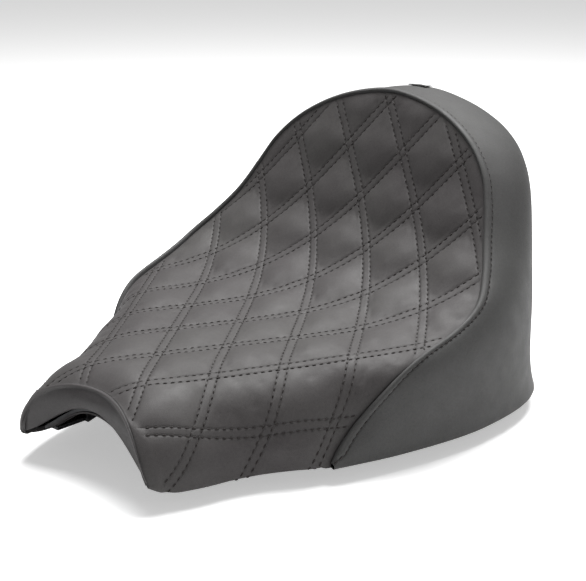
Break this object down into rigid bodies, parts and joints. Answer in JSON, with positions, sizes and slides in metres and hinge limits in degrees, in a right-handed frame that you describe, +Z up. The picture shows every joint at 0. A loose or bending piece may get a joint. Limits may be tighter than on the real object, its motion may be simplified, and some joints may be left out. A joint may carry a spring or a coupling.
{
  "type": "motorcycle solo seat",
  "caption": "Solo motorcycle seat with diamond-quilted insert, smooth side band, low raised backrest and arched nose on a plastic pan with tongue and captive rear screw.",
  "frame": {"origin": "on the axis of the rear mounting screw, at the seat's bottom plane, where the screw enters the fender", "axes": "+X to the rider's left, -Y forward, +Z up; the seat is symmetric about X = 0"},
  "size_m": [0.3956, 0.5125, 0.2814],
  "materials": {
    "insert_vinyl": "grained, matte to satin",
    "quilting_foam": "soft open-cell foam backed with cloth",
    "band_vinyl": "fine grain, satin",
    "binding_rubber": "matte",
    "tag_fabric": "woven",
    "cushion_foam": "moulded foam with a closed skin",
    "pan_plastic": "fine moulded texture",
    "plate_steel": "zinc plated",
    "rivet_aluminium": "satin",
    "strip_plastic": "extruded",
    "staple_steel": "bright wire",
    "liner_fabric": "felted",
    "foot_rubber": "matte",
    "bracket_steel": "black coat, satin",
    "bolt_steel": "black oxide",
    "nut_steel": "zinc plated",
    "grommet_rubber": "matte",
    "washer_plastic": "natural nylon",
    "screw_steel": "polished"
  },
  "bodies": {
    "seat": {"quilted_panel": "insert_vinyl", "sew_foam": "quilting_foam", "side_band": "band_vinyl", "nose_panel": "band_vinyl", "nose_binding": "binding_rubber", "rear_tag": "tag_fabric", "foam_core": "cushion_foam", "base_pan": "pan_plastic", "back_plate": "plate_steel", "back_plate_rivets": "rivet_aluminium", "pull_strips": "strip_plastic", "staples": "staple_steel", "pan_liner": "liner_fabric", "bumpers": "foot_rubber", "front_tongue": "bracket_steel", "front_bolts": "bolt_steel", "tee_nuts": "nut_steel", "rear_bracket": "bracket_steel", "rear_rivets": "rivet_aluminium", "tab_grommet": "grommet_rubber"},
    "washer": {"retaining_washer": "washer_plastic"},
    "screw": {"mounting_screw": "screw_steel"}
  },
  "joints": [
    {"name": "screw_lift", "type": "slide", "parent": "seat", "child": "washer", "axis": [0, 0, 1], "range_m": [-0.003, 0]},
    {"name": "screw_spin", "type": "hinge", "parent": "washer", "child": "screw", "pos_m": [0, 0, 0], "axis": [0, 0, 1], "continuous": true}
  ]
}
